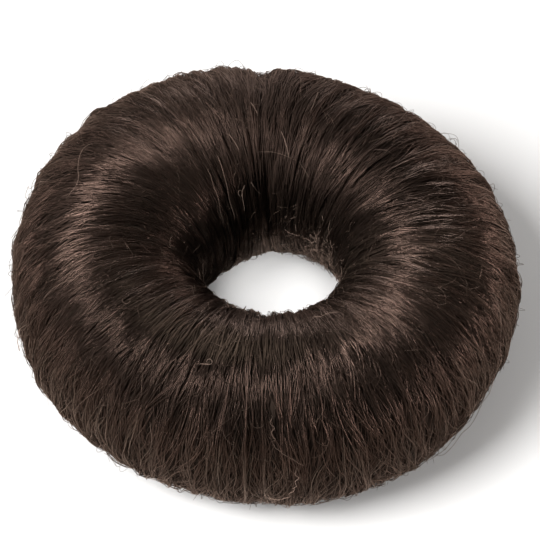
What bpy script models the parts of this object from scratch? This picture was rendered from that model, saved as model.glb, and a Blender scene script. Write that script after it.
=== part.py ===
"""Bun ring (top knot hairpiece): a padded core ring inside a hollow cover of wound hair locks.

Metres, +Z up. The ring lies on the plane z = 0, with its axis along Z and the origin under its middle.
A place on the ring is given by its angle round the ring, from +X towards +Y, and by its section angle, which
runs from the outward side (0) over the crown (90) to the hole side (180) and the underside (270).
"""

import math
import random
from collections import namedtuple

import bmesh
import bpy
from mathutils import Vector

MM = 0.001

# The ring's outline, read off the photograph at these angles round the ring. The hand-wound ring isn't quite
# round: it is thickest at 120 to 150 degrees and slimmest at 30 and 60.
Section = namedtuple("Section", "ring_angle_deg outer_radius_mm hole_radius_mm")
OUTLINE = (
    Section(0, 44.0, 13.0),
    Section(30, 43.5, 12.0),
    Section(60, 43.5, 11.5),
    Section(90, 44.5, 10.5),
    Section(120, 45.0, 9.0),
    Section(150, 46.0, 9.5),
    Section(180, 45.5, 12.5),
    Section(210, 45.0, 12.0),
    Section(240, 44.5, 12.0),
    Section(270, 45.5, 12.5),
    Section(300, 45.5, 13.0),
    Section(330, 44.0, 12.5),
)
# How far the soft underside is pressed in where the ring rests on a table.
REST_DENT = 1.2 * MM

# The wound hair is a wall of this thickness, whose two long edges meet in a seam low on the hole side.
WALL = 3.4 * MM
SEAM_ANGLE = math.radians(232)
SEAM_GAP = 0.8 * MM
FIT_GAP = 0.3 * MM

# The hair lies in locks that run from the seam over the crown and back under to the seam.
LOCKS = 48
COLUMNS_PER_LOCK = 3
LOCK_PROFILE = (0.0, 1.0, 0.6)
LOCK_HEIGHT_LEAST = 0.25 * MM
LOCK_HEIGHT_MOST = 0.75 * MM
LOCK_SEED = 7
# A lock is fullest at some places along it and thinner at others.
LOCK_SWELL = 0.2
SWELL_WAVES = 3
SWELL_STEP = 2.4
# It bows to one side or the other, by the sum of two waves that run round the ring.
LOCK_SWAY = math.radians(2.4)
SWAY_WAVES = (5, 2)
SECOND_SWAY = 0.6
# Next to the seam the locks are drawn in smooth, over this share of the way round the section.
DRAWN_IN_SHARE = 0.12

# Where the two ends of the cover are drawn together, the locks sink into a shallow valley.
Join = namedtuple("Join", "ring_angle_deg depth_mm half_width_deg")
JOINS = (
    Join(90, 0.9, 7),
    Join(268, 0.5, 7),
)

RING_STEPS = LOCKS * COLUMNS_PER_LOCK
CORE_RING_STEPS = 72
SKIN_STEPS = 24
LINING_STEPS = 10
# The round ring that is spun first and then given its true outline.
SPUN_RING_RADIUS = 30 * MM
SPUN_TUBE_RADIUS = 16 * MM


def clear_scene():
    for thing in list(bpy.data.objects):
        bpy.data.objects.remove(thing)


def curve_between(before, start, end, after, t):
    """The smooth curve through four evenly spaced values, at share t of the way from start to end."""
    bend = 2 * before - 5 * start + 4 * end - after
    swing = 3 * start - before - 3 * end + after
    return 0.5 * (2 * start + (end - before) * t + bend * t * t + swing * t**3)


def outline_at(ring_angle):
    """The outer radius and the hole radius at this angle round the ring."""
    degrees = math.degrees(ring_angle) % 360
    row = max(k for k, section in enumerate(OUTLINE) if section.ring_angle_deg <= degrees)
    near = [OUTLINE[(row + k) % len(OUTLINE)] for k in (-1, 0, 1, 2)]
    start, end = near[1], near[2]
    t = (degrees - start.ring_angle_deg) / ((end.ring_angle_deg - start.ring_angle_deg) % 360)
    outer = curve_between(*(section.outer_radius_mm for section in near), t)
    hole = curve_between(*(section.hole_radius_mm for section in near), t)
    return outer * MM, hole * MM


def smooth_step(value):
    value = min(1.0, max(0.0, value))
    return value * value * (3 - 2 * value)


def share_of_winding(section_angle):
    """How far round the section a place is, from 0 at one edge of the seam to 1 at the other."""
    return (section_angle - SEAM_ANGLE) % math.tau / math.tau


def join_depth(ring_angle):
    """How deep the skin sinks here into the valleys at the joins."""
    depth = 0.0
    for join in JOINS:
        away = abs((math.degrees(ring_angle) - join.ring_angle_deg + 180) % 360 - 180)
        depth += join.depth_mm * MM * (1 - smooth_step(away / join.half_width_deg))
    return depth


def lock_heights():
    """One height for each lock, the same on each run."""
    dice = random.Random(LOCK_SEED)
    return [dice.uniform(LOCK_HEIGHT_LEAST, LOCK_HEIGHT_MOST) for _ in range(LOCKS)]


def lock_relief(column, section_angle, heights):
    """How far the skin stands above the valleys between the locks, less the dip at a join."""
    lock = column // COLUMNS_PER_LOCK % LOCKS
    share = share_of_winding(section_angle)
    fullness = smooth_step(share / DRAWN_IN_SHARE) * smooth_step((1 - share) / DRAWN_IN_SHARE)
    swell = 1 - LOCK_SWELL + LOCK_SWELL * math.sin(SWELL_WAVES * section_angle + SWELL_STEP * lock)
    ridge = heights[lock] * LOCK_PROFILE[column % COLUMNS_PER_LOCK] * swell
    mean_ridge = (LOCK_HEIGHT_LEAST + LOCK_HEIGHT_MOST) / 2 * sum(LOCK_PROFILE) / len(LOCK_PROFILE)
    ring_angle = math.tau * column / RING_STEPS
    return fullness * (ridge - mean_ridge - join_depth(ring_angle))


def lock_sway(ring_angle, section_angle):
    """The locks bow a little to one side or the other between the seam's edges."""
    share = share_of_winding(section_angle)
    many, few = SWAY_WAVES
    lean = math.sin(many * ring_angle) + SECOND_SWAY * math.sin(few * ring_angle + 1.0)
    return LOCK_SWAY * lean * math.sin(math.pi * share) ** 2


def place_on_ring(ring_angle, section_angle, inset, relief=0.0, sway=0.0):
    """A point at this depth under the skin. Below the table it is pressed flat."""
    outer, hole = outline_at(ring_angle)
    tube = (outer - hole) / 2
    reach = tube - inset + relief
    across = (outer + hole) / 2 + reach * math.cos(section_angle)
    height = tube - REST_DENT + reach * math.sin(section_angle)
    turned = ring_angle + sway
    return Vector((across * math.cos(turned), across * math.sin(turned), max(height, inset)))


def spun_ring(section_points, steps):
    """A closed section in the XZ plane, spun once round Z."""
    bm = bmesh.new()
    verts = [bm.verts.new((SPUN_RING_RADIUS + x, 0.0, z)) for x, z in section_points]
    edges = [bm.edges.new((a, b)) for a, b in zip(verts, verts[1:] + verts[:1])]
    bmesh.ops.spin(
        bm,
        geom=verts + edges,
        cent=(0, 0, 0),
        axis=(0, 0, 1),
        angle=math.tau,
        steps=steps,
        use_merge=True,
    )
    return bm


def spun_place(vert):
    """Ring angle, section angle and distance from the tube's centre line of a spun vertex."""
    across = math.hypot(vert.co.x, vert.co.y) - SPUN_RING_RADIUS
    ring_angle = math.atan2(vert.co.y, vert.co.x) % math.tau
    section_angle = math.atan2(vert.co.z, across) % math.tau
    return ring_angle, section_angle, math.hypot(across, vert.co.z)


def arc_points(radius, start, end, steps):
    angles = [start + (end - start) * k / steps for k in range(steps + 1)]
    return [(radius * math.cos(a), radius * math.sin(a)) for a in angles]


def hair_material():
    material = bpy.data.materials.new("dark_brown_hair")
    material.use_nodes = True
    shader = material.node_tree.nodes["Principled BSDF"]
    shader.inputs["Base Color"].default_value = (0.030, 0.019, 0.013, 1.0)
    shader.inputs["Roughness"].default_value = 0.42
    shader.inputs["Metallic"].default_value = 0.0
    return material


def padding_material():
    material = bpy.data.materials.new("brown_padding")
    material.use_nodes = True
    shader = material.node_tree.nodes["Principled BSDF"]
    shader.inputs["Base Color"].default_value = (0.055, 0.036, 0.026, 1.0)
    shader.inputs["Roughness"].default_value = 0.95
    shader.inputs["Metallic"].default_value = 0.0
    return material


def finish_object(name, bm, material):
    bmesh.ops.recalc_face_normals(bm, faces=bm.faces)
    mesh = bpy.data.meshes.new(name)
    bm.to_mesh(mesh)
    bm.free()
    mesh.shade_smooth()
    mesh.set_sharp_from_angle(angle=math.radians(40))
    mesh.materials.append(material)
    made = bpy.data.objects.new(name, mesh)
    bpy.context.scene.collection.objects.link(made)
    return made


def lining_angles():
    """The section angles of the cover's lining. The core has its corners at the same ones, so both fit."""
    half_gap = SEAM_GAP / 2 / SPUN_TUBE_RADIUS
    return SEAM_ANGLE + half_gap, SEAM_ANGLE + math.tau - half_gap


def build_hair_cover():
    """The wall of wound hair: its skin in locks, the seam's two edges, and the lining round the core."""
    start, end = lining_angles()
    skin = arc_points(SPUN_TUBE_RADIUS, start, end, SKIN_STEPS)
    lining = arc_points(SPUN_TUBE_RADIUS - WALL, end, start, LINING_STEPS)
    bm = spun_ring(skin + lining, RING_STEPS)
    heights = lock_heights()
    for vert in bm.verts:
        ring_angle, section_angle, distance = spun_place(vert)
        if distance > SPUN_TUBE_RADIUS - WALL / 2:
            column = round(ring_angle / math.tau * RING_STEPS) % RING_STEPS
            relief = lock_relief(column, section_angle, heights)
            sway = lock_sway(ring_angle, section_angle)
            vert.co = place_on_ring(ring_angle, section_angle, 0.0, relief, sway)
        else:
            vert.co = place_on_ring(ring_angle, section_angle, WALL)
    return finish_object("hair_cover", bm, hair_material())


def build_core_ring():
    """The padded ring that the hair is wound on."""
    start, end = lining_angles()
    section = arc_points(SPUN_TUBE_RADIUS, start, end, LINING_STEPS)
    bm = spun_ring(section, CORE_RING_STEPS)
    for vert in bm.verts:
        ring_angle, section_angle, _ = spun_place(vert)
        vert.co = place_on_ring(ring_angle, section_angle, WALL + FIT_GAP)
    return finish_object("core_ring", bm, padding_material())


def centre_over_origin(objects):
    """Moves the meshes so that the middle of the ring's outline stands over the origin."""
    points = [vert.co for thing in objects for vert in thing.data.vertices]
    low = Vector(map(min, zip(*points)))
    high = Vector(map(max, zip(*points)))
    shift = Vector((-(low.x + high.x) / 2, -(low.y + high.y) / 2, -low.z))
    for thing in objects:
        for vert in thing.data.vertices:
            vert.co += shift


clear_scene()
centre_over_origin([build_hair_cover(), build_core_ring()])
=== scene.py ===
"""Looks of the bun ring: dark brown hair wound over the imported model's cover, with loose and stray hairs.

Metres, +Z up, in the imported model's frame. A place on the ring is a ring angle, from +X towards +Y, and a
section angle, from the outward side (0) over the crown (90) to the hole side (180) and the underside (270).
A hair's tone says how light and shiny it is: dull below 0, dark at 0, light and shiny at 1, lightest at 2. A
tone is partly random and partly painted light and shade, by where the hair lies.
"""

import math
from collections import namedtuple

import bmesh
import bpy
import numpy as np
from mathutils import Matrix, Vector
from mathutils.bvhtree import BVHTree


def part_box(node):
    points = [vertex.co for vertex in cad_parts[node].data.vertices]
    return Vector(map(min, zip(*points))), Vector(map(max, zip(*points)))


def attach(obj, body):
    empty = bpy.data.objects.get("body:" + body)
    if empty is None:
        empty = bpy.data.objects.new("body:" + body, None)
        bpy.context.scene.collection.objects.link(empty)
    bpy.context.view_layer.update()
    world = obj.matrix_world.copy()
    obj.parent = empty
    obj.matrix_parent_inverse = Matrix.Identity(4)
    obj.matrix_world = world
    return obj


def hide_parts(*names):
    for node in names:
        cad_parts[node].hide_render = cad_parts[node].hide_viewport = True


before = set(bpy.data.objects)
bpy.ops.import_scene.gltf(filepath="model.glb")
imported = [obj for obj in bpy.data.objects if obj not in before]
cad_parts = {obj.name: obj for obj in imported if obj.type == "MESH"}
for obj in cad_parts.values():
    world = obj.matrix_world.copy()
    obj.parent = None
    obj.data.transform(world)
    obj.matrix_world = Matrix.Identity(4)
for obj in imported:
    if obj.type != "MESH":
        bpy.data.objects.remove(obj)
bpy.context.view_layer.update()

MM = 0.001
TAU = math.tau
SEED = 4127

# The round ring that the cover is spun as before it is laid on the measured skin.
SPUN_RING = 30 * MM
SPUN_TUBE = 16 * MM
WALL = 3.4 * MM
BASE_RING_STEPS = 432
BASE_SKIN_STEPS = 58
BASE_LINING_STEPS = 10
# How deep under the wound hairs the mass of hair lies.
BASE_DEPTH = 0.18 * MM

# The winding's two edges meet in a seam low on the hole side, where the locks are drawn in smooth.
SEAM_ANGLE = math.radians(232)
SEAM_HALF_GAP = 0.4 * MM / SPUN_TUBE
DRAWN_IN = 0.5
CROWN_ANGLE = math.radians(90)
# Past this angle a place on the underside counts as one below the outward side, with an angle under 0.
UNDERSIDE_ANGLE = math.radians(282)
# The ring's middle line, for a sideways shift in mm that becomes a ring angle.
MIDDLE_LINE = 28.5 * MM

# Hair is laid in locks side by side round the ring, each of its own width and height.
LOCKS = 100
LOCK_WIDTH_SPREAD = 0.35
LOCK_HEIGHTS = (0.45, 1.0)
LOCK_VALLEY = 0.42 * MM
# The share of a lock's height at which the measured skin lies.
LOCK_MEAN = 0.6
# Each lock is fuller and thinner by turns along its length.
LOCK_SWELL = 0.25
LOCK_SWELL_TURNS = 2.2
# Low on the outside the locks are flatter. Their relief grows from this angle on, over this stretch.
FLATTEST = 0.35
FLAT_UP_TO = math.radians(-35)
FLAT_STRETCH = math.radians(60)

# Waves bend the hair to the side, and others ripple it up and down, which breaks up its shine. A kind of
# wave has so many crests round the ring. The more crests a bend has, the less it moves the hair.
WaveKind = namedtuple("WaveKind", "least_crests most_crests size")
RIPPLE = 0.07 * MM
BEND_KINDS = (
    WaveKind(2, 6, 0.24),
    WaveKind(5, 12, 0.30),
    WaveKind(16, 40, 0.40),
    WaveKind(30, 70, 0.45),
    WaveKind(50, 110, 0.30),
)
RIPPLE_KINDS = (
    WaveKind(9, 20, RIPPLE),
    WaveKind(18, 36, RIPPLE),
    WaveKind(30, 60, RIPPLE),
)
WAVES_OF_A_KIND = 3
BEND_TURNS = (0.7, 1.6)
RIPPLE_TURNS = (6.0, 12.0)
RIPPLE_SPREAD = (0.6, 1.4)

# The parting on the far side, where the hair from both sides runs together towards the hole. It begins a
# little before the crown.
PARTING_ANGLE = math.radians(95)
PARTING_HALF_WIDTH = math.radians(9)
PARTING_PULL = 0.35
PARTING_LEAD = 0.5
PARTING_STRETCH = 1.2

# Where on the ring the hair is duller or shinier than elsewhere: painted shade where it is duller and darker,
# a painted highlight where it is shinier and lighter. Duller round the parting.
Patch = namedtuple("Patch", "ring_deg half_width_deg gain")
PAINTED_SHADE_AND_HIGHLIGHTS = (
    Patch(80, 34, -1.7),
    Patch(30, 20, -0.5),
    Patch(352, 26, 0.6),
    Patch(272, 30, -0.2),
)
# At the hole's near rim the hair is painted lighter, between these section angles: painted light on the rim.
PAINTED_LIGHT_RIM_ANGLE = math.radians(250)
PAINTED_LIGHT_RIM_HALF_WIDTH = math.radians(50)
PAINTED_LIGHT_RIM_START = math.radians(66)
PAINTED_LIGHT_RIM_RISE = math.radians(22)
PAINTED_LIGHT_RIM_END = math.radians(122)
PAINTED_LIGHT_RIM_FALL = math.radians(34)
PAINTED_LIGHT_RIM_GAIN = 1.4
# Low in the hole every hair has this tone: painted light from the lit floor in the hole.
PAINTED_LIGHT_IN_HOLE_START = math.radians(125)
PAINTED_LIGHT_IN_HOLE_STRETCH = math.radians(75)
PAINTED_LIGHT_IN_HOLE_TONE = 1.6

Layer = namedtuple(
    "Layer",
    "name bundles hairs steps start_deg start_spread end_deg end_spread lift_mm stray_mm wave_mm width_mm"
    " tone_low tone_high",
)
LAYERS = (
    Layer("hair_deep", 160, 7, 18, 226, 4, -62, 6, 0.05, 0.55, 0.45, 0.15, 0.00, 0.15),
    Layer("hair_middle", 180, 7, 22, 196, 22, -18, 26, 0.20, 0.60, 0.50, 0.15, 0.00, 0.40),
    Layer("hair_outer", 150, 8, 26, 150, 30, -50, 12, 0.34, 0.66, 0.66, 0.145, 0.10, 1.00),
    Layer("hair_crown", 200, 7, 20, 142, 26, 26, 22, 0.42, 0.60, 0.60, 0.145, 0.15, 1.00),
)
# Within a bundle the hairs begin and end unevenly, and fan out between their ends.
START_UNEVEN = math.radians(5)
END_UNEVEN = math.radians(6)
FAN_AT_ENDS = 0.12
FAN_FULLNESS = 0.8
# A bundle waves to the side and swings up and down, and each of its hairs does a little of its own.
BUNDLE_TURNS = (1.8, 5.0)
HAIR_TURNS = (4.0, 8.5)
HAIR_SHARE_OF_WAVE = 0.45
SWING_MM = (0.04, 0.22)
SWING_TURNS = (5.0, 9.5)
HAIR_SWING = 0.10 * MM
HAIR_SWING_TURNS = 1.2
LEAST_HEIGHT = 0.3
HEIGHT_SPREAD_MM = (0.0, 0.12)
# Below this angle the hairs come looser: they drift apart and wave more.
LOOSER_BELOW = math.radians(40)
LOOSER_DRIFT = 0.020
LOOSER_WAVE = 0.012
LOOSER_TURNS = 7.0
# Both ends of a hair are tucked in under its neighbours, over this share of its length.
TUCKED_SHARE = 0.10
TUCKED_DEPTH = 0.10 * MM
WIDTH_SPREAD = (0.8, 1.15)
BUNDLE_SHARE_OF_TONE = 0.35

# The looser hair low on the outside, in tufts.
TUFTS = 290
TUFT_HAIRS = 6
TUFT_STEPS = 17
TUFT_PLACE_SPREAD = (-0.6, 0.6)
TUFT_ROOTS_DEG = (-5, 38)
TUFT_TIPS_DEG = (-62, -24)
ROOT_UNEVEN = 0.12
TIP_UNEVEN = 0.06
TUFT_LEAN = 0.075
LEAN_CENTRE = 0.4
ROOT_SPREAD = 0.038
TIP_SPREAD = 0.010
TUFT_BOW = 0.022
TUFT_WAVE = 0.007
TUFT_WAVES = (0.8, 2.2)
TUFT_HEIGHT_MM = (0.25, 0.95)
TUFT_ARCS = (0.8, 1.8)
TUFT_WIDTH_MM = (0.09, 0.14)
TUFT_TONES = (-0.2, 0.9)
# The tufts' hairs grow lighter towards their tips, which lie low by the floor: painted light from the floor.
PAINTED_LIGHT_TO_TUFT_TIPS = 1.4

# The short fine hairs that stand off all over. Some are loops, some stand off further, some have a free tip.
FUZZ_HAIRS = 1550
FUZZ_STEPS = 12
FUZZ_SECTION_DEG = (-45, 215)
FUZZ_LENGTH_MM = (2.0, 6.5)
FUZZ_LOOPS = 0.15
FUZZ_LOOP_CURL = (3.5, 6.0)
FUZZ_LOOP_LENGTH = 0.55
FUZZ_CURL = 0.9
FUZZ_HEADING = 0.6
FUZZ_LEAST_HEIGHT_MM = 0.75
FUZZ_HEIGHT_SPREAD_MM = 0.55
FUZZ_FLYAWAYS = 0.25
FLYAWAY_GAIN = 1.5
FUZZ_MOST_HEIGHT = 2.1 * MM
FUZZ_FREE_TIPS = 0.4
FUZZ_WIDTH_MM = (0.06, 0.10)
FUZZ_TONES = (-0.1, 0.6)
# Where a fine hair leaves the skin, its root is this deep.
ROOT_DEPTH = 0.1 * MM

# Single hairs that lie loose on the others. Heading 0 is down the outside, 90 towards a larger ring angle.
Leg = namedtuple("Leg", "length_mm turn_deg")
Stray = namedtuple("Stray", "ring_deg section_deg heading_deg legs lift_mm width_mm tone crimp_mm")
LONG_CRIMPED_LEGS = (
    Leg(3.4, -20),
    Leg(2.6, -20),
    Leg(2.2, -25),
    Leg(0.6, -30),
    Leg(1.6, -10),
    Leg(0.5, -60),
    Leg(2.2, 0),
)
STRAYS = (
    Stray(270, 49, 5, (Leg(4.2, 0),), 0.7, 0.09, 0.25, 0.17),
    Stray(270, 34, 25, (Leg(3.0, 30), Leg(4.0, -10)), 0.7, 0.08, 0.4, 0.05),
    Stray(275, 16, 10, LONG_CRIMPED_LEGS, 0.9, 0.09, 1.0, 0.16),
    Stray(272, -10, -70, (Leg(1.6, -40), Leg(3.0, 330), Leg(1.5, 60)), 1.1, 0.09, 0.9, 0.10),
    Stray(102, 142, 105, (Leg(2.2, 50), Leg(3.0, -350), Leg(3.2, 20)), 0.8, 0.08, 0.7, 0.0),
    Stray(99, 141, 205, (Leg(3.2, 25),), 0.7, 0.08, 0.5, 0.05),
    Stray(81, 111, 215, (Leg(5.5, -10),), 1.1, 0.09, 0.8, 0.0),
    Stray(69, 128, 75, (Leg(7.5, 15),), 1.0, 0.08, 0.5, 0.0),
    Stray(69, 127, 230, (Leg(4.0, 10),), 0.8, 0.08, 0.3, 0.0),
    Stray(71, 75, 190, (Leg(6.0, -12),), 0.9, 0.09, 0.3, 0.0),
    Stray(94, 92, 215, (Leg(3.0, -15),), 0.8, 0.09, 0.5, 0.0),
    Stray(107, 112, 215, (Leg(3.6, -25),), 0.9, 0.10, 0.7, 0.0),
    Stray(117, 120, 175, (Leg(8.0, -12), Leg(4.0, 25)), 0.7, 0.10, 0.2, 0.0),
    Stray(127, 126, 170, (Leg(7.0, -20), Leg(3.0, 45)), 0.7, 0.10, 0.15, 0.0),
    Stray(248, 73, 95, (Leg(2.2, 5), Leg(2.6, 330)), 0.9, 0.08, 0.7, 0.0),
    Stray(289, 112, 85, (Leg(5.5, -18),), 1.0, 0.08, 0.6, 0.0),
    Stray(259, 48, -25, (Leg(3.0, 40), Leg(3.0, 45)), 0.6, 0.055, 0.1, 0.0),
    Stray(265, 48, -20, (Leg(1.6, 60), Leg(2.4, 120)), 0.6, 0.055, 0.1, 0.05),
    Stray(197, 40, 200, (Leg(5.0, -30), Leg(3.0, -25)), 0.8, 0.09, 0.4, 0.0),
    Stray(213, 84, 20, (Leg(1.5, 80), Leg(2.0, 200)), 0.8, 0.065, 0.15, 0.0),
    Stray(194, 14, 60, (Leg(4.0, -90), Leg(3.5, 260), Leg(2.0, 40)), 1.4, 0.10, 1.0, 0.0),
    Stray(337, 12, -70, (Leg(9.0, 8), Leg(9.0, 6), Leg(7.0, 14)), 1.5, 0.09, 1.0, 0.0),
    Stray(334, 8, -75, (Leg(10.0, 12), Leg(9.0, 4), Leg(5.0, -10)), 1.0, 0.09, 0.9, 0.0),
    Stray(345, 40, -60, (Leg(8.0, 30), Leg(8.0, -35)), 0.9, 0.08, 0.3, 0.0),
    Stray(320, 42, -20, (Leg(7.0, 60), Leg(5.0, -50)), 0.8, 0.09, 0.3, 0.0),
    Stray(240, 30, 40, (Leg(7.0, -70), Leg(5.0, 30)), 0.8, 0.09, 0.3, 0.0),
    Stray(148, 70, 60, (Leg(8.0, 60), Leg(5.0, -80)), 1.0, 0.09, 0.3, 0.0),
    Stray(160, 45, 30, (Leg(7.0, -80), Leg(4.0, 120)), 1.2, 0.09, 0.3, 0.0),
)
STRAY_STEPS = 64
# A crimped hair's short and long bends.
CRIMP_MM = 1.6
LONG_CRIMP_MM = 4.3

# The colours of a kind of hair at its tones, and how much it shines. Tones past 1, towards the lightest
# colour, come only from painted light.
HairColours = namedtuple("HairColours", "name dark light lightest gloss")
WOUND_HAIR = HairColours(
    "wound_hair", (0.0050, 0.0043, 0.0036, 1), (0.0110, 0.0090, 0.0075, 1), (0.055, 0.045, 0.036, 1), 0.64
)
DEEP_HAIR = HairColours(
    "deep_hair", (0.0080, 0.0069, 0.0058, 1), (0.0300, 0.0262, 0.0222, 1), (0.060, 0.052, 0.044, 1), 0.22
)
LOOSE_HAIR = HairColours(
    "loose_hair", (0.0100, 0.0082, 0.0066, 1), (0.0620, 0.0510, 0.0410, 1), (0.220, 0.180, 0.150, 1), 0.40
)
PALE_HAIR = HairColours(
    "pale_hair", (0.0400, 0.0320, 0.0260, 1), (0.2800, 0.2280, 0.1950, 1), (0.360, 0.300, 0.260, 1), 0.45
)
WARM_SHINE = (1.0, 0.75, 0.65, 1)
WARM_SHEEN = (1.0, 0.66, 0.54, 1)
DULLEST, SHINIEST = -2.4, 1.0

# The hair and the table have their own lamps.
Lamp = namedtuple("Lamp", "name position target width depth watts colour")
HAIR_LAMPS = (
    Lamp("overhead", (-0.36, -0.05, 0.60), (0.0, 0.0, 0.01), 0.20, 0.20, 9.0, (1.0, 0.86, 0.79)),
    Lamp("back", (0.03, 0.88, 0.25), (0.0, 0.0, 0.02), 0.60, 0.20, 4.4, (1.0, 0.80, 0.71)),
    Lamp("right", (0.64, -0.05, 0.055), (0.0, 0.0, 0.02), 0.30, 0.08, 2.8, (1.0, 0.74, 0.64)),
    Lamp("left", (-0.64, -0.05, 0.055), (0.0, 0.0, 0.02), 0.30, 0.08, 1.6, (1.0, 0.76, 0.67)),
)
TABLE_WHITE = (1.0, 0.96, 0.93)
TABLE_LAMPS = (
    Lamp("table_key", (-0.87, -0.45, 1.08), (0.0, 0.0, 0.0), 0.85, 0.85, 37.0, TABLE_WHITE),
    Lamp("table_fill", (0.90, -0.70, 0.90), (0.0, 0.0, 0.0), 0.60, 0.60, 6.5, TABLE_WHITE),
)
# A narrow soft beam for the floor that shows through the hole.
BEAM_FROM = (0.0005, -0.440, 0.556)
BEAM_TO = (0.0012, 0.0084, 0.0)
BEAM_RADIUS = 13 * MM
BEAM_WATTS = 23.0
FLOOR_COLOUR = (0.80, 0.83, 0.85, 1)
CARD_COLOUR = (0.80, 0.60, 0.49, 1)
CARD_HEIGHT = 0.2 * MM
ROOM_COLOUR = (1.0, 0.94, 0.90, 1)
ROOM_STRENGTH = 0.31


def angles_between(start, end, steps):
    """Rows of evenly spaced angles, one row for each start and end."""
    share = np.linspace(0.0, 1.0, steps)
    return start[:, None] + (end - start)[:, None] * share[None, :]


def smooth_step(value):
    value = np.clip(value, 0.0, 1.0)
    return value * value * (3 - 2 * value)


def near_an_end(share, reach):
    """0 at both ends of a hair and 1 from this share of its length on."""
    return smooth_step(np.minimum(share, 1 - share) / reach)


def closeness(ring_angle, place, half_width):
    """1 at a place on the ring, and falling to 0 away from it."""
    return np.exp(-((way_round(ring_angle, place) / half_width) ** 2))


def way_round(ring_angle, place):
    """The angle from a place on the ring, between minus and plus half a turn."""
    return (ring_angle - place + math.pi) % TAU - math.pi


def smoothed_round(values, width):
    """A closed row of values, smoothed by a bell of this width in steps."""
    reach = np.arange(-3 * width, 3 * width + 1)
    bell = np.exp(-0.5 * (reach / width) ** 2)
    bell /= bell.sum()
    return sum(share * np.roll(values, int(k)) for k, share in zip(reach, bell))


class Skin:
    """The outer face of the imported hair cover, measured once by rays and read anywhere on it."""

    RING_STEPS = 360
    SECTION_STEPS = 120
    FIRST_HEIGHT = 0.45
    PASSES = 2
    SMOOTHING = 6
    # Rays start this many tube radii out. One that gets deeper than the second share has gone into the seam.
    RAY_START = 1.4
    SEAM_SHARE = 0.8

    def __init__(self, node):
        mesh = node.data
        corners = [vert.co for vert in mesh.vertices]
        self.tree = BVHTree.FromPolygons(corners, [tuple(face.vertices) for face in mesh.polygons])
        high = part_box(node.name)[1]
        self.top = high.z
        self.far_out = 1.5 * max(high.x, high.y)
        self.ring_angles = np.arange(self.RING_STEPS) * TAU / self.RING_STEPS
        self.measure_tube()
        self.measure_reach()

    def distance(self, origin, direction):
        return self.tree.ray_cast(origin, direction)[3]

    def measure_tube(self):
        """The tube's centre line and radius: from its outermost, innermost and topmost points."""
        height = np.full(self.RING_STEPS, self.FIRST_HEIGHT * self.top)
        for _ in range(self.PASSES):
            rows = []
            for angle, level in zip(self.ring_angles, height):
                out = Vector((math.cos(angle), math.sin(angle), 0.0))
                axis = Vector((0.0, 0.0, level))
                outer = self.far_out - self.distance(axis + out * self.far_out, -out)
                hole = self.distance(axis, out)
                above = out * (outer + hole) / 2 + Vector((0.0, 0.0, 2 * self.top))
                crown = 2 * self.top - self.distance(above, Vector((0.0, 0.0, -1.0)))
                rows.append((outer, hole, crown))
            outer, hole, crown = np.array(rows).T
            self.centre_radius = smoothed_round((outer + hole) / 2, self.SMOOTHING)
            self.tube_radius = smoothed_round((outer - hole) / 2, self.SMOOTHING)
            height = smoothed_round(crown, self.SMOOTHING) - self.tube_radius
        self.centre_height = height

    def measure_reach(self):
        """How far the skin is from the centre line, at each ring and section angle."""
        steps = np.arange(self.SECTION_STEPS)
        section_angles = SEAM_ANGLE + (steps + 0.5) * TAU / self.SECTION_STEPS
        reach = np.zeros((self.RING_STEPS, self.SECTION_STEPS))
        for i, angle in enumerate(self.ring_angles):
            out = Vector((math.cos(angle), math.sin(angle), 0.0))
            middle = out * self.centre_radius[i] + Vector((0.0, 0.0, self.centre_height[i]))
            start = self.RAY_START * self.tube_radius[i]
            for j, turn in enumerate(section_angles):
                way = out * math.cos(turn) + Vector((0.0, 0.0, math.sin(turn)))
                reach[i, j] = start - (self.distance(middle + way * start, -way) or 0.0)
        into_seam = reach < self.SEAM_SHARE * self.tube_radius[:, None]
        self.reach_grid = np.where(into_seam, self.tube_radius[:, None], reach)

    def round_ring(self, values, ring_angle):
        """A value that was measured at each step round the ring, read between the steps."""
        place = ring_angle / TAU * self.RING_STEPS
        row = np.floor(place).astype(int)
        share = place - row
        return values[row % self.RING_STEPS] * (1 - share) + values[(row + 1) % self.RING_STEPS] * share

    def reach(self, ring_angle, section_angle):
        across = ring_angle / TAU * self.RING_STEPS
        along = (section_angle - SEAM_ANGLE) / TAU * self.SECTION_STEPS - 0.5
        i, j = np.floor(across).astype(int), np.floor(along).astype(int)
        s, t = across - i, along - j
        i0, i1 = i % self.RING_STEPS, (i + 1) % self.RING_STEPS
        j0, j1 = j % self.SECTION_STEPS, (j + 1) % self.SECTION_STEPS
        grid = self.reach_grid
        low = grid[i0, j0] * (1 - s) + grid[i1, j0] * s
        high = grid[i0, j1] * (1 - s) + grid[i1, j1] * s
        return low * (1 - t) + high * t

    def at(self, ring_angle, section_angle, lift, floor=0.0):
        """Points at this lift off the skin, and no lower than the floor level given."""
        reach = self.reach(ring_angle, section_angle) + lift
        across = self.round_ring(self.centre_radius, ring_angle) + reach * np.cos(section_angle)
        height = self.round_ring(self.centre_height, ring_angle) + reach * np.sin(section_angle)
        return np.stack(
            [across * np.cos(ring_angle), across * np.sin(ring_angle), np.maximum(height, floor)],
            axis=-1,
        )


class Wave:
    """A wave over the ring, with its crests side by side round it and so many turns along a hair."""

    def __init__(self, dice, kind, turns):
        self.crests = int(dice.integers(kind.least_crests, kind.most_crests))
        self.phase = dice.uniform(0, TAU)
        self.turns = dice.uniform(*turns)
        self.start = dice.uniform(0, TAU)
        self.size = kind.size

    def at(self, ring_angle, along):
        across = np.sin(self.crests * ring_angle + self.phase)
        return self.size * across * np.sin(self.turns * along + self.start)


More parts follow.
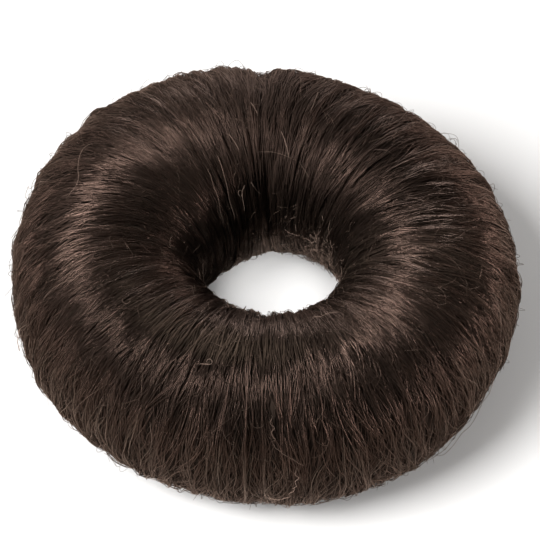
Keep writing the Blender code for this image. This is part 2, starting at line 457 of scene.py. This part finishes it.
class Winding:
    """How the hair runs: the bends that all hairs of a place share, and the locks' own relief."""

    def __init__(self, dice):
        widths = 1 + LOCK_WIDTH_SPREAD * dice.uniform(-1, 1, LOCKS)
        self.edges = np.concatenate([[0.0], np.cumsum(widths)]) / widths.sum() * TAU
        self.height = dice.uniform(*LOCK_HEIGHTS, LOCKS)
        self.swell_phase = dice.uniform(0, TAU, LOCKS)
        self.bends = []
        for kind in BEND_KINDS:
            for _ in range(WAVES_OF_A_KIND):
                wave = Wave(dice, kind, BEND_TURNS)
                wave.size /= kind.least_crests + kind.most_crests
                self.bends.append(wave)
        self.ripples = []
        for kind in RIPPLE_KINDS:
            for _ in range(WAVES_OF_A_KIND):
                wave = Wave(dice, kind, RIPPLE_TURNS)
                wave.size *= dice.uniform(*RIPPLE_SPREAD)
                self.ripples.append(wave)

    def bend(self, ring_angle, section_angle):
        """The ring angle that a hair has here, if it crosses the crown at this one."""
        past_crown = section_angle - CROWN_ANGLE
        moved = sum(wave.at(ring_angle, past_crown) for wave in self.bends)
        begun = smooth_step((past_crown + PARTING_LEAD) / PARTING_STRETCH)
        pull = closeness(ring_angle, PARTING_ANGLE, PARTING_HALF_WIDTH) * begun
        return ring_angle + moved - PARTING_PULL * way_round(ring_angle, PARTING_ANGLE) * pull

    def relief(self, ring_angle, section_angle):
        """How far a lock stands above or below the measured skin."""
        angle = ring_angle % TAU
        lock = np.clip(np.searchsorted(self.edges, angle, side="right") - 1, 0, LOCKS - 1)
        low, high = self.edges[lock], self.edges[lock + 1]
        across = 2 * (angle - low) / (high - low) - 1
        crest = 1 - np.abs(across) ** 3
        fuller = np.sin(LOCK_SWELL_TURNS * section_angle + self.swell_phase[lock])
        swell = 1 - LOCK_SWELL + LOCK_SWELL * fuller
        risen = FLATTEST + (1 - FLATTEST) * smooth_step((section_angle - FLAT_UP_TO) / FLAT_STRETCH)
        height = LOCK_VALLEY * risen * (self.height[lock] * swell * crest - LOCK_MEAN)
        return height + sum(wave.at(ring_angle, section_angle) for wave in self.ripples)


def hair_piece(name, mesh, finish):
    piece = bpy.data.objects.new(name, mesh)
    bpy.context.scene.collection.objects.link(piece)
    mesh.materials.append(finish)
    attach(piece, "root")
    return piece


def tube_corners(paths, widths):
    """The three corners at every step of every hair. They turn with the path as little as they can, and the
    hair is thinner towards both ends."""
    tiny = 1e-9
    steps = paths.shape[1]
    way = np.gradient(paths, axis=1)
    way /= np.maximum(np.linalg.norm(way, axis=2, keepdims=True), tiny)
    side = np.cross(way[:, 0], np.array([0.31, 0.17, 0.93]))
    side /= np.linalg.norm(side, axis=1, keepdims=True)
    sides = np.empty_like(paths)
    for k in range(steps):
        side = side - (side * way[:, k]).sum(1, keepdims=True) * way[:, k]
        side /= np.maximum(np.linalg.norm(side, axis=1, keepdims=True), tiny)
        sides[:, k] = side
    ups = np.cross(way, sides)
    taper = 0.45 + 0.55 * near_an_end(np.linspace(0, 1, steps), 0.12)
    radius = (widths[:, None] / 2 * taper[None, :])[..., None]
    turns = [TAU * k / 3 for k in range(3)]
    corners = [paths + radius * (math.cos(turn) * sides + math.sin(turn) * ups) for turn in turns]
    return np.stack(corners, axis=2).reshape(-1, 3)


def tube_faces(hairs, steps):
    """The corner numbers of all sides, four to a face, and of the caps at both ends, three to a face."""
    first = np.arange(hairs)[:, None, None] * steps * 3
    row = first + np.arange(steps - 1)[None, :, None] * 3
    here = np.arange(3)[None, None, :]
    there = (here + 1) % 3
    sides = np.stack([row + here, row + there, row + 3 + there, row + 3 + here], axis=-1).reshape(-1, 4)
    start_caps = first[:, 0] + np.array([2, 1, 0])
    end_caps = first[:, 0] + (steps - 1) * 3 + np.array([0, 1, 2])
    return sides, np.concatenate([start_caps, end_caps])


def baking_map(hairs, steps):
    """A flat map in the order of the faces. Each hair has a square cell of its own."""
    cells = math.ceil(math.sqrt(hairs))
    cell = 0.94 / cells
    hair = np.arange(hairs)
    corner = np.stack([(hair % cells) / cells, (hair // cells) / cells], axis=-1)
    across = np.arange(4) / 3
    along = 0.08 + 0.84 * np.arange(steps) / (steps - 1)
    left, right = np.broadcast_arrays(across[None, :-1], across[None, 1:])
    low, high = along[:-1, None], along[1:, None]
    shape = (steps - 1, 3)
    u = np.stack([np.broadcast_to(edge, shape) for edge in (left, right, right, left)], axis=-1)
    v = np.stack([np.broadcast_to(edge, shape) for edge in (low, low, high, high)], axis=-1)
    sides = corner[:, None, :] + cell * np.stack([u, v], axis=-1).reshape(1, -1, 2)
    start_cap = np.array([[0.66, 0.07], [0.33, 0.01], [0.0, 0.07]])
    end_cap = np.array([[0.0, 0.93], [0.33, 0.99], [0.66, 0.93]])
    caps = [(corner[:, None, :] + cell * cap[None]).reshape(-1, 2) for cap in (start_cap, end_cap)]
    return np.concatenate([sides.reshape(-1, 2), *caps])


def joined_hairs(name, paths, widths, tones, finish):
    """One mesh of many hairs, each a closed three-sided tube along its path.

    paths is (hairs, steps, 3), widths (hairs,) and tones (hairs, steps) or (hairs, 1)."""
    hairs, steps, _ = paths.shape
    corners = tube_corners(paths, widths)
    sides, caps = tube_faces(hairs, steps)
    loops = np.concatenate([sides.ravel(), caps.ravel()])
    sizes = np.concatenate([np.full(len(sides), 4), np.full(len(caps), 3)])

    mesh = bpy.data.meshes.new(name)
    mesh.vertices.add(len(corners))
    mesh.vertices.foreach_set("co", corners.astype(np.float32).ravel())
    mesh.loops.add(len(loops))
    mesh.loops.foreach_set("vertex_index", loops.astype(np.int32))
    mesh.polygons.add(len(sizes))
    mesh.polygons.foreach_set("loop_start", (np.cumsum(sizes) - sizes).astype(np.int32))
    mesh.update(calc_edges=True)
    mesh.shade_smooth()
    cells = baking_map(hairs, steps).astype(np.float32)
    mesh.uv_layers.new(name="OFBake").data.foreach_set("uv", cells.ravel())
    tone = np.repeat(np.broadcast_to(tones, (hairs, steps)).ravel(), 3).astype(np.float32)
    mesh.attributes.new("tone", "FLOAT", "POINT").data.foreach_set("value", tone)
    return hair_piece(name, mesh, finish)


Bundles = namedtuple(
    "Bundles", "middle start end height tone wave_phase wave_turns swing swing_turns swing_phase"
)


def draw_bundles(layer, dice):
    """Where each bundle of a layer lies, how high, how light, and how it waves and swings."""
    count = layer.bundles
    return Bundles(
        middle=(np.arange(count) + dice.uniform(-0.5, 0.5, count)) * TAU / count,
        start=np.radians(layer.start_deg + layer.start_spread * dice.uniform(-1, 1, count)),
        end=np.radians(layer.end_deg + layer.end_spread * dice.uniform(-1, 1, count)),
        height=dice.uniform(0.0, 1.0, count),
        tone=dice.uniform(0.0, 1.0, count),
        wave_phase=dice.uniform(0, TAU, count),
        wave_turns=dice.uniform(*BUNDLE_TURNS, count),
        swing=dice.uniform(*SWING_MM, count) * MM,
        swing_turns=dice.uniform(*SWING_TURNS, count),
        swing_phase=dice.uniform(0, TAU, count),
    )


def layer_tones(layer, bundle, ring, section, dice):
    """Each hair's tone along its length: its bundle's and its own, at random, and painted light and shade by
    the place it lies on.
    """
    own = dice.uniform(0, 1, (len(section), 1))
    tones = BUNDLE_SHARE_OF_TONE * bundle.tone + (1 - BUNDLE_SHARE_OF_TONE) * own
    tones = layer.tone_low + (layer.tone_high - layer.tone_low) * tones
    # Painted shade and painted highlights, in patches round the ring.
    for patch in PAINTED_SHADE_AND_HIGHLIGHTS:
        half_width = math.radians(patch.half_width_deg)
        tones = tones + patch.gain * closeness(bundle.middle, math.radians(patch.ring_deg), half_width)
    # Painted light low in the hole, from the lit floor there.
    painted_light_in_hole = smooth_step((section - PAINTED_LIGHT_IN_HOLE_START) / PAINTED_LIGHT_IN_HOLE_STRETCH)
    # Painted light on the hole's near rim.
    rising = smooth_step((section - PAINTED_LIGHT_RIM_START) / PAINTED_LIGHT_RIM_RISE)
    falling = smooth_step((PAINTED_LIGHT_RIM_END - section) / PAINTED_LIGHT_RIM_FALL)
    painted_light_rim = closeness(ring, PAINTED_LIGHT_RIM_ANGLE, PAINTED_LIGHT_RIM_HALF_WIDTH) * rising * falling
    return tones * (1 - painted_light_in_hole) + PAINTED_LIGHT_IN_HOLE_TONE * painted_light_in_hole + PAINTED_LIGHT_RIM_GAIN * painted_light_rim


def hair_layer(layer, skin, winding, dice, finish):
    """A layer of the winding: hairs in small bundles whose ends run to a point under their neighbours."""
    bundles = draw_bundles(layer, dice)
    owner = np.repeat(np.arange(layer.bundles), layer.hairs)
    bundle = Bundles(*(values[owner, None] for values in bundles))
    hairs = len(owner)
    start = bundles.start[owner] + dice.normal(0, START_UNEVEN, hairs)
    end = bundles.end[owner] + dice.normal(0, END_UNEVEN, hairs)
    section = angles_between(start, end, layer.steps)
    share = np.linspace(0, 1, layer.steps)[None, :]

    wave = layer.wave_mm * MM / MIDDLE_LINE
    fan = FAN_AT_ENDS + (1 - FAN_AT_ENDS) * np.sin(math.pi * share) ** FAN_FULLNESS
    aside = dice.normal(0, layer.stray_mm * MM / MIDDLE_LINE, (hairs, 1)) * fan
    aside = aside + wave * np.sin(bundle.wave_turns * section + bundle.wave_phase)
    turns = dice.uniform(*HAIR_TURNS, (hairs, 1))
    phase = dice.uniform(0, TAU, (hairs, 1))
    aside = aside + HAIR_SHARE_OF_WAVE * wave * np.sin(turns * section + phase)
    below = np.clip(LOOSER_BELOW - section, 0, None)
    aside = aside + dice.normal(0, LOOSER_DRIFT, (hairs, 1)) * below**1.5
    aside = aside + LOOSER_WAVE * below * np.sin(LOOSER_TURNS * section + phase)
    ring = bundle.middle + aside

    lift = layer.lift_mm * MM * (LEAST_HEIGHT + bundle.height)
    lift = lift + dice.uniform(*HEIGHT_SPREAD_MM, (hairs, 1)) * MM
    lift = lift + bundle.swing * np.sin(bundle.swing_turns * section + bundle.swing_phase)
    lift = lift + HAIR_SWING * np.sin(HAIR_SWING_TURNS * turns * section + 2 * phase)
    free = near_an_end(share, TUCKED_SHARE)
    lift = lift * free - TUCKED_DEPTH * (1 - free) + winding.relief(ring, section)

    width = layer.width_mm * MM
    paths = skin.at(winding.bend(ring, section), section, lift, floor=width / 2)
    widths = width * dice.uniform(*WIDTH_SPREAD, hairs)
    tones = layer_tones(layer, bundle, ring, section, dice)
    return joined_hairs(layer.name, paths, widths, tones, finish)


def low_loose_hairs(skin, winding, dice, finish):
    """The looser hair low on the outside: tufts whose hairs bow apart, cross and meet at their tips."""
    owner = np.repeat(np.arange(TUFTS), TUFT_HAIRS)
    hairs = len(owner)
    middle = (np.arange(TUFTS) + dice.uniform(*TUFT_PLACE_SPREAD, TUFTS)) * TAU / TUFTS
    start = np.radians(dice.uniform(*TUFT_ROOTS_DEG, TUFTS))[owner] + dice.normal(0, ROOT_UNEVEN, hairs)
    end = np.radians(dice.uniform(*TUFT_TIPS_DEG, TUFTS))[owner] + dice.normal(0, TIP_UNEVEN, hairs)
    section = angles_between(start, end, TUFT_STEPS)
    share = np.linspace(0, 1, TUFT_STEPS)[None, :]

    lean = dice.normal(0, TUFT_LEAN, TUFTS)[owner, None]
    root_spread = dice.normal(0, ROOT_SPREAD, (hairs, 1))
    tip_spread = dice.normal(0, TIP_SPREAD, (hairs, 1))
    bow = dice.normal(0, TUFT_BOW, (hairs, 1))
    waves = dice.uniform(*TUFT_WAVES, (hairs, 1))
    ring = middle[owner, None] + lean * (share - LEAN_CENTRE)
    ring = ring + root_spread * (1 - share) ** 1.3 + tip_spread * share + bow * np.sin(math.pi * share)
    ring = ring + TUFT_WAVE * np.sin(TAU * waves * share + dice.uniform(0, TAU, (hairs, 1)))

    height = dice.uniform(*TUFT_HEIGHT_MM, (hairs, 1)) * MM
    arcs = np.sin(math.pi * share * dice.uniform(*TUFT_ARCS, (hairs, 1)))
    rise = smooth_step(share / 0.2) * (0.6 + 0.4 * arcs)
    lift = height * rise - ROOT_DEPTH / 2 + winding.relief(ring, section)
    paths = skin.at(winding.bend(ring, section), section, lift, floor=TUFT_WIDTH_MM[1] / 2 * MM)
    widths = dice.uniform(*TUFT_WIDTH_MM, hairs) * MM
    # Painted light from the floor, on the tufts' low tips.
    tones = dice.uniform(*TUFT_TONES, (hairs, 1)) + PAINTED_LIGHT_TO_TUFT_TIPS * share**1.5
    return joined_hairs("hair_low_loose", paths, widths, tones, finish)


def walk(skin, ring, section, heading, strides):
    """Ring and section angles along paths over the skin. Heading 0 is down the outside, and a quarter turn is
    towards a larger ring angle. Heading is (hairs, steps), and strides fit it."""
    tube = skin.tube_radius.mean()
    radius = skin.round_ring(skin.centre_radius, ring) + tube * np.cos(section)
    down = np.cumsum(np.cos(heading) * strides, axis=1)
    across = np.cumsum(np.sin(heading) * strides, axis=1)
    return ring[:, None] + across / radius[:, None], section[:, None] - down / tube


def fuzz(skin, dice, finish):
    """Short fine hairs that stand off all over: arcs, small loops and free tips."""
    one_each = (FUZZ_HAIRS, 1)
    share = np.linspace(0, 1, FUZZ_STEPS)[None, :]
    ring = dice.uniform(0, TAU, FUZZ_HAIRS)
    section = np.radians(dice.uniform(*FUZZ_SECTION_DEG, FUZZ_HAIRS))
    in_hole = smooth_step((section[:, None] - math.radians(120)) / math.radians(40))
    length = dice.uniform(*FUZZ_LENGTH_MM, one_each) * MM * (1 - 0.5 * in_hole)
    loops = dice.uniform(0, 1, one_each) < FUZZ_LOOPS
    curl = np.where(loops, dice.uniform(*FUZZ_LOOP_CURL, one_each), dice.normal(0, FUZZ_CURL, one_each))
    heading = dice.normal(0, FUZZ_HEADING, one_each) + curl * share
    stride = np.where(loops, FUZZ_LOOP_LENGTH * length, length) / (FUZZ_STEPS - 1)
    rings, sections = walk(skin, ring, section, heading, stride)

    height = np.abs(dice.normal(0, FUZZ_HEIGHT_SPREAD_MM, one_each)) + FUZZ_LEAST_HEIGHT_MM
    height = height * (1 - 0.65 * in_hole) * MM
    flyaway = (dice.uniform(0, 1, one_each) < FUZZ_FLYAWAYS) & ~loops
    height = np.minimum(np.where(flyaway, FLYAWAY_GAIN, 1.0) * height, FUZZ_MOST_HEIGHT)
    free_tip = dice.uniform(0, 1, one_each) < FUZZ_FREE_TIPS
    rise = np.where(free_tip, share**1.5, np.sin(math.pi * share))
    paths = skin.at(rings, sections, height * rise - ROOT_DEPTH, floor=FUZZ_WIDTH_MM[1] / 2 * MM)
    widths = dice.uniform(*FUZZ_WIDTH_MM, FUZZ_HAIRS) * MM
    tones = dice.uniform(*FUZZ_TONES, one_each)
    return joined_hairs("hair_fuzz", paths, widths, tones, finish)


def hole_rim_hairs(skin, dice, finish):
    """Little loops along the near edge of the hole, and the pale fluff on its right edge."""
    loops, fluff, steps = 60, 385, 8
    share = np.linspace(0, 1, steps)[None, :]
    ring = np.radians(np.concatenate([dice.uniform(225, 310, loops), dice.normal(40, 17, fluff)]))
    section = np.radians(np.concatenate([dice.uniform(132, 152, loops), dice.normal(190, 16, fluff)]))
    start = np.concatenate([dice.normal(3.1, 0.7, loops), dice.normal(3.4, 0.5, fluff)])[:, None]
    curl = np.concatenate([dice.uniform(2.0, 5.5, loops), dice.normal(0, 0.9, fluff)])[:, None]
    length = np.concatenate([dice.uniform(1.5, 4.0, loops), dice.uniform(1.5, 4.5, fluff)])[:, None] * MM
    rings, sections = walk(skin, ring, section, start + curl * share, length / (steps - 1))
    height = np.concatenate([dice.uniform(0.3, 1.1, loops), dice.uniform(0.2, 0.9, fluff)])[:, None] * MM
    is_loop = np.arange(loops + fluff)[:, None] < loops
    rise = np.where(is_loop, np.sin(math.pi * share), share)
    paths = skin.at(rings, sections, height * rise - ROOT_DEPTH)
    widths = dice.uniform(0.045, 0.080, loops + fluff) * MM
    tones = np.concatenate([dice.uniform(0.0, 0.5, loops), dice.uniform(0.30, 0.90, fluff)])[:, None]
    return joined_hairs("hair_hole_rim", paths, widths, tones, finish)


def stray_path(stray, skin):
    """One stray hair's ring angles, section angles and lifts: its legs, with its crimp laid over them."""
    share = np.linspace(0, 1, STRAY_STEPS)
    whole = sum(leg.length_mm for leg in stray.legs)
    leg_ends = np.cumsum([leg.length_mm for leg in stray.legs])
    turned = math.radians(stray.heading_deg)
    heading = []
    for place in (np.arange(STRAY_STEPS) + 0.5) / STRAY_STEPS * whole:
        leg = stray.legs[int(np.searchsorted(leg_ends, place))]
        turned += math.radians(leg.turn_deg) * whole / STRAY_STEPS / leg.length_mm
        heading.append(turned)
    ring, section = np.radians([stray.ring_deg]), np.radians([stray.section_deg])
    rings, sections = walk(skin, ring, section, np.array([heading]), whole / STRAY_STEPS * MM)
    bends = TAU * whole / CRIMP_MM * share + 1.2 * np.sin(TAU * whole / LONG_CRIMP_MM * share)
    crimp = stray.crimp_mm * MM
    rings = rings[0] + crimp / SPUN_RING * (np.sin(bends) + 0.6 * np.sin(1.7 * bends + 1.0))
    sections = sections[0] + 0.6 * crimp / SPUN_TUBE * np.sin(1.3 * bends + 2.0)
    lift = (stray.lift_mm * (0.4 + 0.6 * near_an_end(share, 0.12)) + 0.25 * share) * MM
    return rings, sections, lift


def stray_hairs(skin, finish):
    """The single hairs that lie across the others, where the photograph shows them."""
    rings, sections, lifts = (np.array(rows) for rows in zip(*(stray_path(stray, skin) for stray in STRAYS)))
    paths = skin.at(rings, sections, lifts, floor=0.06 * MM)
    widths = np.array([stray.width_mm for stray in STRAYS]) * MM
    tones = np.array([[stray.tone] for stray in STRAYS])
    return joined_hairs("hair_strays", paths, widths, tones, finish)


def arc(radius, start, end, steps):
    """Points on the spun ring's section, from one angle to the other."""
    turns = [start + (end - start) * k / steps for k in range(steps + 1)]
    return [(SPUN_RING + radius * math.cos(turn), 0.0, radius * math.sin(turn)) for turn in turns]


def spun_wall():
    """A round hollow wall that is open at the seam: its skin, the seam's edges and its lining."""
    start, end = SEAM_ANGLE + SEAM_HALF_GAP, SEAM_ANGLE + TAU - SEAM_HALF_GAP
    section = arc(SPUN_TUBE, start, end, BASE_SKIN_STEPS)
    section += arc(SPUN_TUBE - WALL, end, start, BASE_LINING_STEPS)
    bm = bmesh.new()
    verts = [bm.verts.new(point) for point in section]
    edges = [bm.edges.new((a, b)) for a, b in zip(verts, verts[1:] + verts[:1])]
    bmesh.ops.spin(
        bm,
        geom=verts + edges,
        cent=(0, 0, 0),
        axis=(0, 0, 1),
        angle=TAU,
        steps=BASE_RING_STEPS,
        use_merge=True,
    )
    bmesh.ops.recalc_face_normals(bm, faces=bm.faces)
    mesh = bpy.data.meshes.new("hair_cover_base")
    bm.to_mesh(mesh)
    bm.free()
    return mesh


def winding_map(mesh, ring, past_seam):
    """A map that runs round the ring one way and along the hair the other. It is cut at ring angle 0."""
    corner = np.empty(len(mesh.loops), np.int32)
    mesh.loops.foreach_get("vertex_index", corner)
    sizes = np.empty(len(mesh.polygons), np.int32)
    mesh.polygons.foreach_get("loop_total", sizes)
    face = np.repeat(np.arange(len(sizes)), sizes)
    u, v = ring[corner] / TAU, past_seam[corner] / TAU
    least = np.full(len(sizes), np.inf)
    np.minimum.at(least, face, u)
    most = np.zeros(len(sizes))
    np.maximum.at(most, face, u)
    over_the_cut = (most - least)[face] > 0.5
    u = np.where(over_the_cut & (u < 0.5), u + 1, u)
    both = np.stack([u, v], axis=-1).astype(np.float32)
    mesh.uv_layers.new(name="winding").data.foreach_set("uv", both.ravel())


def base_cover(skin, winding, finish):
    """The mass of hair that the loose hairs lie on: a hollow wall with the cover's form, in fine locks."""
    mesh = spun_wall()
    co = np.empty(len(mesh.vertices) * 3, np.float32)
    mesh.vertices.foreach_get("co", co)
    x, y, z = co.reshape(-1, 3).astype(float).T
    across = np.hypot(x, y) - SPUN_RING
    ring = np.arctan2(y, x) % TAU
    past_seam = (np.arctan2(z, across) - SEAM_ANGLE) % TAU
    section = SEAM_ANGLE + past_seam
    section = section - TAU * (section > UNDERSIDE_ANGLE)
    outside = np.hypot(across, z) > SPUN_TUBE - WALL / 2

    drawn_in = smooth_step(past_seam / DRAWN_IN) * smooth_step((TAU - past_seam) / DRAWN_IN)
    bent = np.where(outside, winding.bend(ring, section), ring)
    lift = np.where(outside, winding.relief(ring, section) * drawn_in - BASE_DEPTH, -WALL)
    placed = skin.at(bent, section, lift, floor=np.where(outside, 0.0, WALL))
    mesh.vertices.foreach_set("co", placed.astype(np.float32).ravel())
    winding_map(mesh, ring, past_seam)
    mesh.shade_smooth()
    mesh.update()
    piece = hair_piece("hair_cover_base", mesh, finish)
    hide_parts("hair_cover")
    return piece


class Value:
    """A shader socket that can be used in arithmetic."""

    def __init__(self, finish, output):
        self.finish = finish
        self.output = output

    def maths(self, operation, left, right):
        return self.finish.node("ShaderNodeMath", {"operation": operation}, {0: left, 1: right})

    def __add__(self, other):
        return self.maths("ADD", self, other)

    def __sub__(self, other):
        return self.maths("SUBTRACT", self, other)

    def __rsub__(self, other):
        return self.maths("SUBTRACT", other, self)

    def __mul__(self, other):
        return self.maths("MULTIPLY", self, other)

    __radd__ = __add__
    __rmul__ = __mul__


class Finish:
    """One material: its Principled shader, and the nodes that feed it."""

    def __init__(self, name):
        self.material = bpy.data.materials.new(name)
        self.material.use_nodes = True
        self.tree = self.material.node_tree
        self.shader = self.tree.nodes["Principled BSDF"]

    def feed(self, socket, value):
        if isinstance(value, Value):
            self.tree.links.new(value.output, socket)
        else:
            socket.default_value = value

    def node(self, kind, settings=None, sockets=None, result=0):
        made = self.tree.nodes.new(kind)
        for name, value in (settings or {}).items():
            setattr(made, name, value)
        for name, value in (sockets or {}).items():
            self.feed(made.inputs[name], value)
        return Value(self, made.outputs[result])

    def surface(self, **sockets):
        for name, value in sockets.items():
            self.feed(self.shader.inputs[name.replace("_", " ")], value)

    def place_on_piece(self):
        return self.node("ShaderNodeTexCoord", result=3)

    def noise(self, place, scale, detail, roughness):
        sockets = {"Vector": place, "Scale": scale, "Detail": detail, "Roughness": roughness}
        return self.node("ShaderNodeTexNoise", None, sockets)

    def bump(self, strength, distance, height):
        sockets = {"Strength": strength, "Distance": distance, "Height": height}
        return self.node("ShaderNodeBump", None, sockets)

    def blend(self, low, high, share):
        """A colour that goes from low to high."""
        sockets = {"Factor": share, 6: low, 7: high}
        return self.node("ShaderNodeMix", {"data_type": "RGBA"}, sockets, result=2)


def hair_finish(look):
    """Single hairs: darker and duller or lighter and shinier by their tone, and a little uneven."""
    finish = Finish(look.name)
    tone = finish.node("ShaderNodeAttribute", {"attribute_name": "tone"}, result=2)
    uneven = finish.noise(finish.place_on_piece(), 260.0, 2.0, 0.5)
    colour = finish.blend(look.dark, look.light, tone * 0.75 + uneven * 0.35 - 0.05)
    shine = finish.node("ShaderNodeClamp", None, {0: tone, 1: DULLEST, 2: SHINIEST})
    finish.surface(
        Base_Color=finish.blend(colour, look.lightest, tone - 1.0),
        Roughness=0.385 - shine * 0.13 + uneven * 0.05,
        Specular_IOR_Level=look.gloss,
        Specular_Tint=WARM_SHINE,
        Sheen_Weight=0.035,
        Sheen_Roughness=0.35,
        Sheen_Tint=WARM_SHEEN,
    )
    return finish.material


def under_hair_finish():
    """The mass of hair: fine lines along the winding, streaks of hair with painted shade between them, and
    painted light low in the hole.
    """
    finish = Finish("under_hair")
    place = finish.node("ShaderNodeUVMap", {"uv_map": "winding"})
    along_hair = finish.node("ShaderNodeMapping", None, {"Vector": place, "Scale": (1.0, 0.012, 1.0)})
    lines = finish.noise(along_hair, 700.0, 3.0, 0.6)
    height = finish.node("ShaderNodeSeparateXYZ", None, {0: place}, result=1)
    sockets = {0: height, 1: 0.60, 2: 0.86, 3: 0.0, 4: 1.0}
    painted_light_in_hole = finish.node("ShaderNodeMapRange", {"interpolation_type": "SMOOTHSTEP"}, sockets)
    # Lighter streaks are the hairs of the mass; the dark between them is painted shade.
    shaded = finish.blend((0.0040, 0.0034, 0.0029, 1), (0.0170, 0.0145, 0.0122, 1), lines * 4.0 - 1.5)
    finish.surface(
        # Low in the hole the mass of hair is painted lighter: painted light from the lit floor.
        Base_Color=finish.blend(shaded, (0.0400, 0.0345, 0.0290, 1), painted_light_in_hole),
        Roughness=0.55 + lines * 0.2,
        Normal=finish.bump(0.8, 0.2 * MM, lines),
        Specular_IOR_Level=0.15,
        Specular_Tint=WARM_SHINE,
    )
    return finish.material


def padding_finish():
    """The core's matt fibre."""
    finish = Finish("padding_fibre")
    fibre = finish.noise(finish.place_on_piece(), 900.0, 4.0, 0.7)
    finish.surface(
        Base_Color=finish.blend((0.030, 0.020, 0.014, 1), (0.085, 0.056, 0.040, 1), fibre),
        Roughness=0.85 + fibre * 0.1,
        Normal=finish.bump(0.6, 0.4 * MM, fibre),
    )
    return finish.material


def stage_plane(name, colour, height):
    finish = Finish(name)
    finish.surface(Base_Color=colour, Roughness=0.6)
    bm = bmesh.new()
    bmesh.ops.create_grid(bm, x_segments=1, y_segments=1, size=3.0)
    bmesh.ops.translate(bm, verts=bm.verts, vec=(0.0, 0.0, height))
    mesh = bpy.data.meshes.new(name)
    bm.to_mesh(mesh)
    bm.free()
    mesh.materials.append(finish.material)
    plane = bpy.data.objects.new(name, mesh)
    bpy.context.scene.collection.objects.link(plane)
    return plane


def room_light():
    """An even pale light from all sides, which shiny hair doesn't mirror."""
    world = bpy.data.worlds.new("studio")
    world.use_nodes = True
    background = world.node_tree.nodes["Background"]
    background.inputs["Color"].default_value = ROOM_COLOUR
    background.inputs["Strength"].default_value = ROOM_STRENGTH
    bpy.context.scene.world = world
    world.cycles_visibility.glossy = False


def light_group(name, things, state):
    """What a light falls on: these things alone, or all but these."""
    group = bpy.data.collections.new(name)
    for thing in things:
        group.objects.link(thing)
    for member in group.collection_objects:
        member.light_linking.link_state = state
    return group


def aim(name, light, position, target, group):
    shining = bpy.data.objects.new(name, light)
    shining.location = position
    shining.rotation_mode = "QUATERNION"
    shining.rotation_quaternion = (Vector(target) - Vector(position)).to_track_quat("-Z", "Y")
    shining.light_linking.receiver_collection = group
    bpy.context.scene.collection.objects.link(shining)


def soft_lamp(lamp, group):
    light = bpy.data.lights.new(lamp.name, "AREA")
    light.shape = "RECTANGLE"
    light.size = lamp.width
    light.size_y = lamp.depth
    light.color = lamp.colour
    light.energy = lamp.watts
    aim(lamp.name, light, lamp.position, lamp.target, group)


def beam_through_hole(group):
    light = bpy.data.lights.new("hole", "SPOT")
    light.spot_size = 2 * math.atan(BEAM_RADIUS / (Vector(BEAM_FROM) - Vector(BEAM_TO)).length)
    light.spot_blend = 1.0
    light.shadow_soft_size = 2 * MM
    light.color = TABLE_WHITE
    light.energy = BEAM_WATTS
    aim("hole", light, BEAM_FROM, BEAM_TO, group)


def floor_and_light():
    floor = stage_plane("floor", FLOOR_COLOUR, 0.0)
    floor.visible_glossy = False
    # The hair mirrors this warm card in place of the floor.
    card = stage_plane("warm_card", CARD_COLOUR, CARD_HEIGHT)
    card.visible_camera = card.visible_diffuse = card.visible_shadow = False
    room_light()
    on_table = light_group("on_table", (floor, card), "INCLUDE")
    on_hair = light_group("on_hair", (floor, card), "EXCLUDE")
    for lamp in HAIR_LAMPS:
        soft_lamp(lamp, on_hair)
    for lamp in TABLE_LAMPS:
        soft_lamp(lamp, on_table)
    beam_through_hole(on_table)


def photo_camera():
    """The camera, at the photograph's height and turn. The ring's middle is at this pixel of it."""
    distance, elevation, roll = 0.70, math.radians(51.0), -0.035
    picture, pixels_per_mm = 540, 5.588
    ring_at = Vector((269.3, 291.8))
    target = Vector((0.5 * MM, 0.5 * MM, 12 * MM))
    forward = Vector((0.0, math.cos(elevation), -math.sin(elevation)))
    right = Vector((1.0, 0.0, 0.0))
    up = right.cross(forward)
    turned_right = right * math.cos(roll) + up * math.sin(roll)
    turned_up = up * math.cos(roll) - right * math.sin(roll)
    position = target - forward * distance
    off = (Vector((picture / 2, picture / 2)) - ring_at) * (MM / pixels_per_mm)
    look = (target + turned_right * off.x - turned_up * off.y - position).normalized()
    across = (turned_right - look * turned_right.dot(look)).normalized()
    over = across.cross(look)
    camera = bpy.data.cameras.new("camera")
    camera.sensor_width = 36.0
    camera.lens = camera.sensor_width * pixels_per_mm * distance / MM / picture
    camera.clip_start = 0.01
    shot = bpy.data.objects.new("camera", camera)
    turn = Matrix((across, over, -look)).transposed().to_4x4()
    shot.matrix_world = Matrix.Translation(position) @ turn
    bpy.context.scene.collection.objects.link(shot)
    bpy.context.scene.camera = shot


def build():
    bpy.context.scene.view_settings.view_transform = "Standard"
    photo_camera()
    floor_and_light()
    dice = np.random.default_rng(SEED)
    skin = Skin(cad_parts["hair_cover"])
    winding = Winding(dice)
    base_cover(skin, winding, under_hair_finish())
    wound, deep = hair_finish(WOUND_HAIR), hair_finish(DEEP_HAIR)
    loose, pale = hair_finish(LOOSE_HAIR), hair_finish(PALE_HAIR)
    for layer in LAYERS:
        hair_layer(layer, skin, winding, dice, deep if layer.name == "hair_deep" else wound)
    low_loose_hairs(skin, winding, dice, loose)
    fuzz(skin, dice, loose)
    hole_rim_hairs(skin, dice, pale)
    stray_hairs(skin, pale)
    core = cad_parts["core_ring"]
    core.data.materials[0] = padding_finish()


build()
